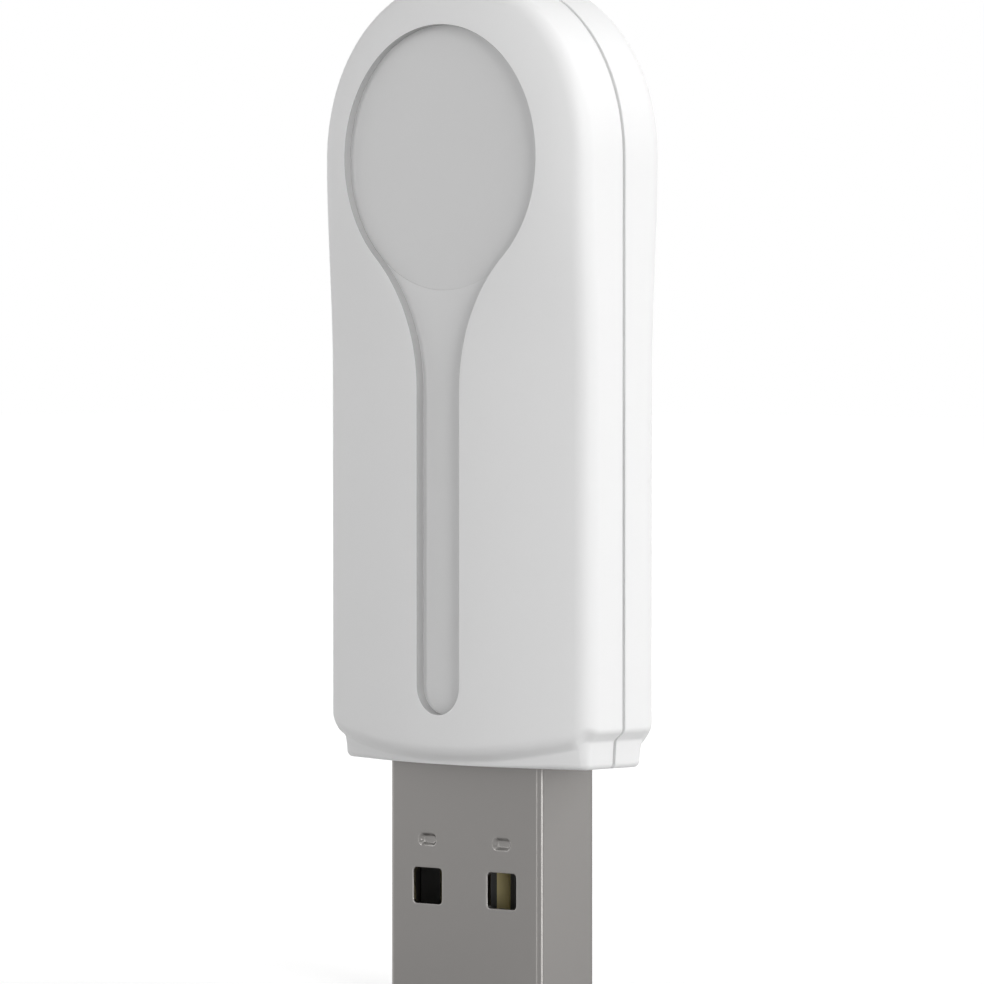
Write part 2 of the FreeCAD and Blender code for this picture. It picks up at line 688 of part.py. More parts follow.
def rear_shell():
    """Plain moulded half with the pins, the ribs and the tongue of the joint."""
    body = new_body("rear_shell")
    outer_half(body, 1)
    hollow(body, 1)

    bosses = pin_circles(body, "boss_outline", BOARD_BACK, "sizes.boss_diameter / 2")
    pad(body, bosses, "bosses", "%s + %s" % (WALL_ROOT, BOARD_BACK), reversed=True)
    pins = pin_circles(body, "pin_outline", BOARD_BACK, "sizes.pin_diameter / 2")
    pad(body, pins, "pins", "sizes.board_thickness + sizes.pin_length")
    stop_rib(body, 1)

    ribs = new_sketch(body, "rib_outline", "XZ_Plane", "%s - sizes.board_gap" % BOARD_BACK)
    for level in ("rib_low", "rib_high"):
        height = "(%s + sizes.%s)" % (COLLAR, level)
        rectangle(ribs, "-%s * 2 / 3" % BOARD_HALF, "%s - sizes.rib_width / 2" % height,
                  "%s * 2 / 3" % BOARD_HALF, "%s + sizes.rib_width / 2" % height)
    doc.recompute()
    pad(body, ribs, "board_ribs", "%s + %s - sizes.board_gap" % (WALL_ROOT, BOARD_BACK),
        reversed=True)
    plug_slot(body)

    tongue = new_sketch(body, "tongue_outline", "XZ_Plane", "-sizes.parting_gap / 2")
    horseshoe(tongue, "(%s + sizes.tongue_width)" % CAVITY_HALF, CAVITY_HALF,
              "%s + sizes.nose_height" % COLLAR)
    doc.recompute()
    pad(body, tongue, "tongue", "sizes.tongue_height + sizes.parting_gap / 2")
    return keep(body, "rear_shell")


def face_disc():
    """Thin disc bonded into the round part of the recess, flush with its floor."""
    body = new_body("face_disc")
    outline = new_sketch(body, "disc_outline", "XZ_Plane", INLAY_SEAT)
    circle(outline, "0", HEAD, "(sizes.disc_radius - sizes.inlay_gap)")
    doc.recompute()
    disc = pad(body, outline, "disc", "sizes.inlay_thickness")
    front = -value(RECESS_FLOOR)
    bevel(body, "broken_edge", disc,
          edge_names(disc.Shape, lambda point: near(point.y, front)), "sizes.inlay_gap")
    return keep(body, "face_disc")


def window_pair(body, name, plane, kind):
    """Two rounded outlines side by side on the plug: its windows or its dimples."""
    sketch = new_sketch(body, name, "XZ_Plane", plane)
    for hand in ("-1", "1"):
        rounded_rectangle(sketch, "(%s * sizes.window_spacing / 2)" % hand,
                          "sizes.%s_from_end" % kind, "(sizes.%s_width / 2)" % kind,
                          "(sizes.%s_height / 2)" % kind, "sizes.%s_corner" % kind)
    doc.recompute()
    return sketch


def plug_shell():
    """Steel tube folded from sheet, with windows, pressed dimples and two solder legs."""
    body = new_body("plug_shell")
    ring = new_sketch(body, "tube_outline", "XY_Plane")
    rounded_rectangle(ring, "0", "0", "(sizes.plug_width / 2)", "(sizes.plug_height / 2)",
                      "sizes.plug_bend")
    rounded_rectangle(ring, "0", "0", "(sizes.plug_width / 2 - sizes.plug_sheet)",
                      "(sizes.plug_height / 2 - sizes.plug_sheet)",
                      "(sizes.plug_bend - sizes.plug_sheet)")
    doc.recompute()
    pad(body, ring, "tube", SHELL_END)

    windows = window_pair(body, "window_outline", None, "window")
    pocket(body, windows, "windows", "2 * sizes.plug_height", midplane=True)
    inner_face = "(sizes.plug_height / 2 - sizes.plug_sheet)"
    bumps = window_pair(body, "dimple_bump_outline", inner_face, "dimple")
    pad(body, bumps, "dimple_bumps", "sizes.dimple_depth", reversed=True)
    dimples = window_pair(body, "dimple_outline", "(sizes.plug_height / 2)", "dimple")
    pocket(body, dimples, "dimples", "sizes.dimple_depth")

    legs = new_sketch(body, "leg_outline", "XY_Plane", SHELL_END)
    outside = "(sizes.plug_width / 2)"
    inside = "(sizes.plug_width / 2 - sizes.plug_sheet)"
    rectangle(legs, inside, "-sizes.leg_front", outside, "sizes.leg_back")
    rectangle(legs, "-%s" % outside, "-sizes.leg_front", "-%s" % inside, "sizes.leg_back")
    doc.recompute()
    pad(body, legs, "legs", "sizes.leg_length")

    seam = new_sketch(body, "seam_outline", "XZ_Plane", "-sizes.plug_height / 2")
    rectangle(seam, "-sizes.seam_width / 2", "-sizes.plug_sheet", "sizes.seam_width / 2",
              "%s + sizes.plug_sheet" % SHELL_END)
    doc.recompute()
    pocket(body, seam, "seam", "1.5 * sizes.plug_sheet", reversed=True)
    return keep(body, "plug_shell")


def box(name, x_low, x_high, y_low, y_high, z_low, z_high):
    """A block between six planes, each an expression of the sheet."""
    block = doc.addObject("Part::Box", name)
    for sides, low, high, axis in (("Length", x_low, x_high, "x"),
                                   ("Width", y_low, y_high, "y"),
                                   ("Height", z_low, z_high, "z")):
        block.setExpression(sides, "(%s) - (%s)" % (high, low))
        block.setExpression("Placement.Base.%s" % axis, low)
    doc.recompute()
    return block


def fuse(name, pieces):
    union = doc.addObject("Part::MultiFuse", name)
    union.Shapes = pieces
    doc.recompute()
    return union


def cut(name, base, tool):
    rest = doc.addObject("Part::Cut", name)
    rest.Base = base
    rest.Tool = tool
    doc.recompute()
    return rest


CONTACTS = [
    ("power_contact", "sizes.contact_outer / 2", "sizes.power_from_end"),
    ("data_contact_minus", "sizes.contact_inner / 2", "sizes.data_from_end"),
    ("data_contact_plus", "-sizes.contact_inner / 2", "sizes.data_from_end"),
    ("ground_contact", "-sizes.contact_outer / 2", "sizes.power_from_end"),
]


def contact(name, across, start):
    """Gold-plated strip that lies in the tongue and ends on the circuit board."""
    strip = box(name, "%s - sizes.contact_width / 2" % across,
                "%s + sizes.contact_width / 2" % across,
                "-sizes.contact_proud", "sizes.contact_sheet - sizes.contact_proud",
                start, "%s + sizes.tail_length" % BOARD_LOW)
    return keep(strip, name)


def plug_insulator(contacts):
    """Moulded block and tongue round the contacts."""
    half = "(sizes.plug_width / 2 - sizes.plug_sheet - sizes.insulator_gap)"
    wall = "(sizes.plug_height / 2 - sizes.plug_sheet - sizes.insulator_gap)"
    back = "%s - sizes.insulator_back" % SHELL_END
    tongue = box("tongue", "-%s" % half, half, "0", wall, "sizes.tongue_from_end", back)
    stop = "sizes.dimple_from_end + sizes.dimple_height / 2 + sizes.insulator_gap"
    block = box("block", "-%s" % half, half, "-%s" % wall, "0", stop, back)
    solid = fuse("insulator_solid", [tongue, block])
    channels = fuse("contact_channels", contacts)
    return keep(cut("insulator", solid, channels), "plug_insulator")


def circuit_board():
    """Board with a round top, four pin holes and two notches for the legs of the plug."""
    body = new_body("circuit_board")
    outline = new_sketch(body, "board_outline", "XZ_Plane", BOARD_FRONT)
    half = value(BOARD_HALF)
    low = value(BOARD_LOW)
    top = value(HEAD)
    floor = outline.addGeometry(Part.LineSegment(vec(-half, low), vec(half, low)))
    right = outline.addGeometry(Part.LineSegment(vec(half, low), vec(half, top)))
    ring = Part.Circle(vec(0, top), vec(0, 0, 1), half)
    arch = outline.addGeometry(Part.ArcOfCircle(ring, 0, math.pi))
    left = outline.addGeometry(Part.LineSegment(vec(-half, top), vec(-half, low)))
    join(outline, [
        ("Coincident", floor, 2, right, 1),
        ("Tangent", right, 2, arch, 1),
        ("Tangent", arch, 2, left, 1),
        ("Coincident", left, 2, floor, 1),
        ("Horizontal", floor),
        ("Vertical", right),
        ("Vertical", left),
    ])
    dimension(outline, "Radius", (arch,), BOARD_HALF)
    place(outline, arch, 3, "0", HEAD)
    dimension(outline, "DistanceY", (-1, 1, floor, 1), BOARD_LOW)
    doc.recompute()
    pad(body, outline, "board", "sizes.board_thickness", reversed=True)

    holes = pin_circles(body, "hole_outline", BOARD_FRONT, "sizes.pin_diameter / 2 + sizes.pin_gap")
    pocket(body, holes, "pin_holes", "2 * sizes.board_thickness")
    notches = new_sketch(body, "notch_outline", "XZ_Plane", BOARD_FRONT)
    outside = "(sizes.plug_width / 2 + sizes.notch_gap)"
    inside = "(sizes.plug_width / 2 - sizes.plug_sheet - sizes.notch_gap)"
    below = "%s - sizes.board_gap" % BOARD_LOW
    above = "%s + sizes.leg_length + sizes.notch_gap" % SHELL_END
    rectangle(notches, inside, below, outside, above)
    rectangle(notches, "-%s" % outside, below, "-%s" % inside, above)
    doc.recompute()
    pocket(body, notches, "leg_notches", "2 * sizes.board_thickness")
    return keep(body, "circuit_board")


# Parts on the board stand on its front face, at -Y, in rows counted upwards

FACE = "(sizes.contact_sheet - sizes.contact_proud)"
ROW_1 = "(%s + sizes.tail_length + sizes.row_gap + sizes.lead_span / 2)" % BOARD_LOW
ROW_2 = "(%s + sizes.lead_span / 2 + sizes.row_gap + sizes.chip_width / 2)" % ROW_1
ROW_3 = "(%s + sizes.chip_width / 2 + sizes.row_gap + sizes.radio_size / 2)" % ROW_2
ROW_4 = "(%s + sizes.radio_size / 2 + sizes.row_gap + sizes.chip_width / 2)" % ROW_3
ROW_5 = "(%s + sizes.chip_width + sizes.row_gap)" % ROW_4
STEP = "(sizes.chip_length + sizes.part_gap)"
BEAD = "(sizes.outline_length / 2 + sizes.part_gap + sizes.chip_width / 2)"
SUPPLY = "(%s + sizes.chip_width / 2 + sizes.part_gap + sizes.bulk_width / 2)" % BEAD
CRYSTAL = "(sizes.radio_size / 2 + 2 * sizes.part_gap + sizes.crystal_width / 2)"
LOAD = "(%s + sizes.crystal_width / 2 + sizes.part_gap + sizes.chip_width / 2)" % CRYSTAL
DECOUPLE = "(sizes.radio_size / 2 + sizes.part_gap + sizes.chip_width / 2)"
ANTENNA = "(%s + %s - sizes.antenna_edge - sizes.antenna_width / 2)" % (HEAD, BOARD_HALF)


def centred(name, x, z, width, tall, height, lift="0"):
    """A block centred at x, z whose back lies on the board, or a lift above it."""
    return box(name, "%s - %s / 2" % (x, width), "%s + %s / 2" % (x, width),
               "%s - %s - %s" % (FACE, lift, height), "%s - %s" % (FACE, lift),
               "%s - %s / 2" % (z, tall), "%s + %s / 2" % (z, tall))


def two_ended(label, x, z, length, width, height, cap, upright):
    """Ceramic chip part: a slimmer body between two metal ends."""
    shift = "(%s - %s) / 2" % (length, cap)
    slim = "(%s - 2 * sizes.chip_step)"
    if upright:
        core = centred(label + "_core", x, z, slim % width, "(%s - %s)" % (length, cap), slim % height)
        ends = [centred(label + "_end", x, "%s %s %s" % (z, sign, shift), width, cap, height)
                for sign in "-+"]
    else:
        core = centred(label + "_core", x, z, "(%s - %s)" % (length, cap), slim % width, slim % height)
        ends = [centred(label + "_end", "%s %s %s" % (x, sign, shift), z, cap, width, height)
                for sign in "-+"]
    return keep(fuse(label + "_solid", [core] + ends), label)


def chip(label, x, z, upright=False):
    return two_ended(label, x, z, "sizes.chip_length", "sizes.chip_width", "sizes.chip_height",
                     "sizes.chip_cap", upright)


def leaded(label, x, z, columns_low, columns_high):
    """Small moulded package with bent leads at its lower and upper side."""
    lift = "sizes.lead_sheet"
    pieces = [centred(label + "_body", x, z, "sizes.outline_length", "sizes.outline_width",
                      "sizes.outline_height", lift)]
    foot = "((sizes.lead_span - sizes.outline_width) / 2 + sizes.lead_sheet)"
    for sign, columns in (("-", columns_low), ("+", columns_high)):
        for column in columns:
            across = "%s + %d * sizes.lead_pitch" % (x, column)
            up = "%s %s (sizes.lead_span - %s) / 2" % (z, sign, foot)
            pieces.append(centred(label + "_lead", across, up, "sizes.lead_width", foot,
                                  "(2 * sizes.lead_sheet)"))
    return keep(fuse(label + "_solid", pieces), label)


def radio_chip():
    """Square leadless package with a pressed mark beside its first pad."""
    package = centred("radio_body", "0", ROW_3, "sizes.radio_size", "sizes.radio_size",
                      "sizes.radio_height")
    mark = doc.addObject("Part::Cylinder", "first_pad_mark")
    mark.setExpression("Radius", "sizes.mark_radius")
    mark.setExpression("Height", "2 * sizes.mark_depth")
    mark.Placement.Rotation = FreeCAD.Rotation(vec(1, 0, 0), 90)
    mark.setExpression("Placement.Base.x", "sizes.mark_inset - sizes.radio_size / 2")
    mark.setExpression("Placement.Base.y", "%s - sizes.radio_height + sizes.mark_depth" % FACE)
    mark.setExpression("Placement.Base.z", "%s + sizes.radio_size / 2 - sizes.mark_inset" % ROW_3)
    doc.recompute()
    return keep(cut("radio_solid", package, mark), "radio_chip")


def crystal():
    """Metal can with rounded upright edges."""
    can = centred("crystal_can", "-%s" % CRYSTAL, ROW_3, "sizes.crystal_width",
                  "sizes.crystal_length", "sizes.crystal_height")
    low = value(FACE) - value("sizes.crystal_height")
    back = value(FACE)
    rounded = doc.addObject("Part::Fillet", "crystal_rounded")
    rounded.Base = can
    radius = value("sizes.crystal_corner")
    edges = []
    for index, edge in enumerate(can.Shape.Edges, start=1):
        ends = sorted(vertex.Point.y for vertex in edge.Vertexes)
        if near(ends[0], low) and near(ends[1], back):
            edges.append((index, radius, radius))
    rounded.Edges = edges
    doc.recompute()
    return keep(rounded, "crystal")


def populate():
    leaded("surge_suppressor", "0", ROW_1, (-1, 0, 1), (-1, 0, 1))
    leaded("voltage_regulator", "(sizes.outline_length + sizes.part_gap)", ROW_1, (-1, 0, 1), (-1, 1))
    chip("supply_bead", "-%s" % BEAD, ROW_1, upright=True)
    two_ended("supply_capacitor", "-%s" % SUPPLY, ROW_1, "sizes.bulk_length", "sizes.bulk_width",
              "sizes.bulk_height", "sizes.chip_cap", True)
    for number, label in enumerate(("pull_up_resistor", "data_resistor_plus", "data_resistor_minus",
                                    "regulator_capacitor")):
        chip(label, "(%s * %.1f)" % (STEP, number - 1.5), ROW_2)
    radio_chip()
    crystal()
    for number, sign in enumerate("-+", start=1):
        height = "(%s %s %s / 2)" % (ROW_3, sign, STEP)
        chip("crystal_capacitor_%d" % number, "-%s" % LOAD, height, upright=True)
        chip("decoupling_capacitor_%d" % number, DECOUPLE, height, upright=True)
    chip("matching_coil_1", "0", ROW_4)
    chip("matching_capacitor_1", STEP, ROW_4)
    chip("matching_coil_2", "0", ROW_5)
    chip("matching_capacitor_2", "-%s" % STEP, ROW_5)
    two_ended("chip_antenna", "0", ANTENNA, "sizes.antenna_length", "sizes.antenna_width",
              "sizes.antenna_height", "sizes.chip_cap", False)


front_shell()
rear_shell()
face_disc()
plug_shell()
plug_insulator([contact(*row) for row in CONTACTS])
circuit_board()
populate()
doc.recompute()

for item in doc.Objects:
    if "Invalid" in item.State or "Error" in item.State:
        raise RuntimeError("%s failed: %s" % (item.Name, item.State))
for item in SUB_PARTS:
    if item.Shape.isNull() or not item.Shape.isValid():
        raise RuntimeError("%s has no valid shape" % item.Label)

os.makedirs("parts", exist_ok=True)
for item in SUB_PARTS:
    item.Shape.exportStep("parts/%s.step" % item.Label)
print("%d sub-parts" % len(SUB_PARTS))
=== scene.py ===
import math

import bmesh
import bpy
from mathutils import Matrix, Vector


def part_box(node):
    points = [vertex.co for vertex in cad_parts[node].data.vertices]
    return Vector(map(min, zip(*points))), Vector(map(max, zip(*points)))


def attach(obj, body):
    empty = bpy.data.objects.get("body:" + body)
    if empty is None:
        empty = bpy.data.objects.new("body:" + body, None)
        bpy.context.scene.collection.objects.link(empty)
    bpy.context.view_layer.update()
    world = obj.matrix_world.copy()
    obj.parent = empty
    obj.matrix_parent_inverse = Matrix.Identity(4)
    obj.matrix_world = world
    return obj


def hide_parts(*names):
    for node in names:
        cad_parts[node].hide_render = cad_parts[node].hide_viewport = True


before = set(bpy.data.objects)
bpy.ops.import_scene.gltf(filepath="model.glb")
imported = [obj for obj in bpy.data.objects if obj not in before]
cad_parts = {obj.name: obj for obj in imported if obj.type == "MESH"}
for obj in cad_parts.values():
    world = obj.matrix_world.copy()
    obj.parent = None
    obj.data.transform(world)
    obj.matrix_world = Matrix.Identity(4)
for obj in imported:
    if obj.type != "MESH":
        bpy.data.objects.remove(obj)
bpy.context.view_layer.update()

# Front and rear half shell
# Two white ABS halves, injection moulded, which snap together round the board. A flat round
# head eases into a crowned body, and a slanted step leads down to a narrower collar. The
# spoon-shaped recess is part of the front half's mould, where a coarser texture dulls it, and
# its floor and walls carry painted shade.

# Outline, in millimetres like all sizes of the pieces: half width, depth of a half, heights, and
# how much fuller the head is at its shoulders.
MM = 0.001
low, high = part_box("front_shell")
HALF = high.x / MM
DEPTH = -low.y / MM
COLLAR = low.z / MM
COLLAR_DROP = 0.07
FOOT = COLLAR - COLLAR_DROP
HEAD = high.z / MM - HALF
FULLER = 0.1

# Cross-section: corner round of each half, flat middle, and drop from there to the corner.
FRONT, REAR = -1, 1
CORNER = {FRONT: 1.3, REAR: 1.58}
BODY_FLAT, BODY_DROP = 0.8, 1.169
HEAD_FLAT, HEAD_DROP = 6.45, 0.697
BLEND_RISE = 22.0
BLEND_LOW = COLLAR + BLEND_RISE

# Step and collar: inset, slants, the rounds and cove of the step, and its rise over the collar.
STEP, STEP_TURN, CORNER_TURN = 0.68, math.radians(51), math.radians(44)
EDGE_FRONT, EDGE_SIDE, COVE = 0.95, 0.45, 0.3
COLLAR_CORNER, COLLAR_ROUND = 0.65, 0.35
LEAN_FRONT, LEAN_SIDE = 0.3, 0.12
END_ARC, END_RISE, SIDE_RISE = 48.0, 0.13, 0.26
CORNER_RISE = {FRONT: 0.16, REAR: 0.1}

# Wall, the solid nose round the plug with its slot, and the open parting line.
WALL = 1.2
NOSE = 3.2
NOSE_TOP = COLLAR + NOSE
SLOT_GAP = 0.05
SEAM_HALF, SEAM_DEEP, SEAM_EDGE = 0.105, 0.4, 0.06

# Recess: a round for the disc, two neck arcs, and a straight groove with a round end.
DISC_RADIUS = 7.53
GROOVE_HALF, GROOVE_RISE = 1.65, 2.8
GROOVE_END = COLLAR + GROOVE_RISE + GROOVE_HALF
NECK_RADIUS = 10.0
NECK_X = GROOVE_HALF + NECK_RADIUS
NECK_Z = HEAD - math.sqrt((DISC_RADIUS + NECK_RADIUS) ** 2 - NECK_X ** 2)
NECK_TURN = math.atan2(HEAD - NECK_Z, NECK_X)
RECESS_DEEP, SEAT_DEEP = 0.525, 0.5
RECESS = DEPTH - RECESS_DEEP
SEAT = RECESS - SEAT_DEEP
LIP = 0.03

# A quarter turn, and a tolerance for comparing heights.
QUARTER = math.pi / 2
HAIR = 1e-6


def steps(first, last, count):
    """Evenly spaced values from first to last, both included."""
    return [first + (last - first) * index / count for index in range(count + 1)]


def turns(first, last, degrees=3):
    """Angles from first to last, no more than a few degrees apart."""
    return steps(first, last, max(1, math.ceil(math.degrees(abs(last - first)) / degrees)))


def form_at(z, corner, inset=0.0):
    """Outline of the housing at a height: half width, depth, corner, flat, drop and crown."""
    # Up to the blend the section is the body's, and then it eases into the head's.
    share = min(max((z - BLEND_LOW) / (HEAD - BLEND_LOW), 0), 1)
    eased = share * share * (3 - 2 * share)
    flat = BODY_FLAT + (HEAD_FLAT - BODY_FLAT) * eased
    drop = BODY_DROP + (HEAD_DROP - BODY_DROP) * eased
    half, depth = HALF - inset, DEPTH - inset
    reach = half - corner - flat
    crown = (reach ** 2 + drop ** 2) / (2 * drop) + corner
    return half, depth, corner, flat, drop, crown


def height_at(form, x):
    """Height of the face over the middle plane at a place across the width."""
    _, depth, _, flat, _, crown = form
    return depth - crown + math.sqrt(crown ** 2 - max(x - flat, 0) ** 2)


def outline(form, inner=0.0):
    """Points and normals across half the width, from the seam over the corner to the inner place."""
    half, depth, corner, flat, drop, crown = form
    side_top = depth - corner - drop
    slope = math.asin((half - corner - flat) / (crown - corner))
    points = [(half - SEAM_DEEP, 0.0, 1, 0), (half - SEAM_DEEP, SEAM_HALF, 1, 0)]
    for turn in steps(-QUARTER, 0, 4):
        points.append((half - SEAM_EDGE + SEAM_EDGE * math.cos(turn),
                       SEAM_HALF + SEAM_EDGE + SEAM_EDGE * math.sin(turn), 1, 0))
    points += [(half, y, 1, 0) for y in steps(SEAM_HALF + SEAM_EDGE, side_top, 3)[1:]]
    for turn in steps(0, QUARTER - slope, 10)[1:]:
        across, out = math.cos(turn), math.sin(turn)
        points.append((half - corner + corner * across, side_top + corner * out, across, out))
    for x in steps(points[-1][0], inner, 20)[1:]:
        across = max(x - flat, 0) / crown
        points.append((x, height_at(form, x), across, math.sqrt(1 - across ** 2)))
    return points


def lower_rows(side):
    """Rows of the lower end: out of the plug's slot, over the collar and the step to the body."""
    body = outline(form_at(COLLAR, CORNER[side]))
    collar = outline(form_at(COLLAR, COLLAR_CORNER, STEP))
    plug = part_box("plug_shell")[1] / MM
    slot_half, slot_depth = plug.x + SLOT_GAP, plug.y + SLOT_GAP
    bend = max(collar, key=lambda point: point[0] + point[1])
    slot = [(min(x / bend[0], 1) * slot_half, min(y / bend[1], 1) * slot_depth)
            for x, y, _, _ in collar]
    rows = [[(x, y, z) for x, y in slot] for z in (NOSE_TOP, FOOT)]

    def ring(share, cove):
        """The step at a share of its cove above the collar, or of its round below the body."""
        row = []
        for (x1, y1, across, out), (x2, y2, _, _) in zip(body, collar):
            # Each place blends its sizes, because the front, the sides and the corners differ.
            sideways, bent = across ** 2, (2 * across * out) ** 2
            arc = END_ARC - math.sqrt(END_ARC ** 2 - x1 ** 2)
            base = COLLAR + END_RISE + arc + SIDE_RISE * sideways + CORNER_RISE[side] * bent
            full = STEP_TURN + (CORNER_TURN - STEP_TURN) * bent
            edge = EDGE_FRONT + (EDGE_SIDE - EDGE_FRONT) * sideways
            turn, reach = share * full, math.tan(full / 2)
            if cove:
                inset, rise = STEP - COVE * (1 - math.cos(turn)), COVE * (math.sin(turn) - reach)
            else:
                inset = edge * (1 - math.cos(turn))
                rise = STEP / math.tan(full) + edge * (reach - math.sin(turn))
            x, y = x1 + (x2 - x1) * inset / STEP, y1 + (y2 - y1) * inset / STEP
            row.append((x, y, base + rise))
        return row

    def collar_ring(turn, share):
        """The collar at a turn of its round at the foot, or at a share of the way to the step."""
        row = []
        for (x, y, top), (_, _, across, out) in zip(ring(0, True), collar):
            tall = top - FOOT
            radius = min(COLLAR_ROUND, tall / 2)
            height = radius * (1 - math.cos(turn)) + (tall - radius) * share
            fall = tall - height
            # Below the step the collar leans in, and towards its foot it grows upright.
            lean = LEAN_FRONT + (LEAN_SIDE - LEAN_FRONT) * across ** 2
            pull = radius * (1 - math.sin(turn)) + lean * (fall - fall ** 2 / (2 * tall))
            row.append((x - pull * across, y - pull * out, FOOT + height))
        return row

    rows += [collar_ring(turn, 0) for turn in steps(0, QUARTER, 6)]
    rows += [collar_ring(QUARTER, share) for share in (0.3, 0.6)]
    rows += [ring(share, True) for share in steps(0, 1, 6)]
    rows += [ring(share, False) for share in steps(1, 0, 8)]
    first, above = rows[-1], GROOVE_END - GROOVE_HALF - LIP
    for share in (0.25, 0.5, 0.75):
        rows.append([(x, y, z + (above - z) * share) for x, y, z in first])
    return rows


def recess_stations():
    """Points round the right half of the spoon-shaped recess, with the direction out of it."""
    stations = []
    for turn in turns(0, QUARTER, 6):
        stations.append((GROOVE_HALF * math.sin(turn), GROOVE_END - GROOVE_HALF * math.cos(turn),
                         math.sin(turn), -math.cos(turn)))
    stations += [(GROOVE_HALF, z, 1, 0) for z in steps(GROOVE_END, NECK_Z, 12)[1:]]
    for turn in turns(0, NECK_TURN)[1:]:
        stations.append((NECK_X - NECK_RADIUS * math.cos(turn), NECK_Z + NECK_RADIUS * math.sin(turn),
                         math.cos(turn), -math.sin(turn)))
    for turn in turns(-NECK_TURN, QUARTER)[1:]:
        stations.append((DISC_RADIUS * math.cos(turn), HEAD + DISC_RADIUS * math.sin(turn),
                         math.cos(turn), math.sin(turn)))
    return stations


def mirrored(rows):
    """The same rows on the other side, in the order that carries on round the outline."""
    return [[(-x, y, z) for x, y, z in row] for row in reversed(rows)]


def grid(mesh, rows, closed=False, skin=0):
    """Quads between rows of points, which are given in millimetres."""
    lines = [[mesh.verts.new(point) for point in row] for row in rows]
    pairs = list(zip(lines, lines[1:]))
    if closed:
        pairs.append((lines[-1], lines[0]))
    for row, following in pairs:
        for index in range(len(row) - 1):
            face = mesh.faces.new((row[index], row[index + 1], following[index + 1], following[index]))
            face.material_index = skin


def patch(mesh, points, skin=0):
    """One flat face round a list of points, which are given in millimetres."""
    mesh.faces.new([mesh.verts.new(point) for point in points]).material_index = skin


# Points this close are one point, and edges that turn more than this stay sharp.
WELD, SHARP_TURN = 1e-4, math.radians(35)


def finish_piece(mesh, name, materials, node):
    """Join the mesh up, shade it smooth between its edges and put it in place of its CAD node."""
    bmesh.ops.remove_doubles(mesh, verts=mesh.verts, dist=WELD)
    bmesh.ops.dissolve_degenerate(mesh, edges=mesh.edges, dist=WELD)
    bmesh.ops.recalc_face_normals(mesh, faces=mesh.faces)
    bmesh.ops.scale(mesh, vec=(MM, MM, MM), verts=mesh.verts)
    data = bpy.data.meshes.new(name)
    mesh.to_mesh(data)
    mesh.free()
    data.shade_smooth()
    data.set_sharp_from_angle(angle=SHARP_TURN)
    for material in materials:
        data.materials.append(material)
    piece = bpy.data.objects.new(name, data)
    bpy.context.collection.objects.link(piece)
    weighted = piece.modifiers.new("even_shading", "WEIGHTED_NORMAL")
    weighted.keep_sharp = True
    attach(piece, "root")
    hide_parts(node)


# Places of the recess's two skins, whose colours carry painted shade, in the front half's list of
# materials.
FLOOR_SKIN, WALL_SKIN = 1, 2


def recess(mesh, rims):
    """The wall, the floor and the disc's seat of the recess, inside its rim in the face."""
    around = rims + [(-x, z, -across, up, height)
                     for x, z, across, up, height in reversed(rims[:-1])][:-1]
    walls = []
    for x, z, across, up, height in around:
        row = []
        for turn in steps(0, QUARTER, 4):
            out = LIP * (1 - math.sin(turn))
            row.append((x + out * across, -(height - LIP * (1 - math.cos(turn))), z + out * up))
        row.append((x, -RECESS, z))
        walls.append(row)
    grid(mesh, walls, closed=True, skin=WALL_SKIN)

    touch = HEAD - DISC_RADIUS * math.sin(NECK_TURN) + HAIR
    tail = [(x, -RECESS, z) for x, z, _, _, _ in rims if z < touch]
    upper = [(x, -RECESS, z) for x, z, _, _, _ in rims][len(tail) - 1:]
    arc = [(DISC_RADIUS * math.cos(turn), -RECESS, HEAD + DISC_RADIUS * math.sin(turn))
           for turn in turns(-math.pi + NECK_TURN, -NECK_TURN)]
    patch(mesh, tail + arc[-2:0:-1] + [(-x, y, z) for x, y, z in reversed(tail[1:])], skin=FLOOR_SKIN)
    ring = arc + upper[1:] + [(-x, y, z) for x, y, z in reversed(upper[:-1])][:-1]
    grid(mesh, [[point, (point[0], -SEAT, point[2])] for point in ring], closed=True, skin=WALL_SKIN)
    patch(mesh, [(x, -SEAT, z) for x, _, z in ring], skin=FLOOR_SKIN)


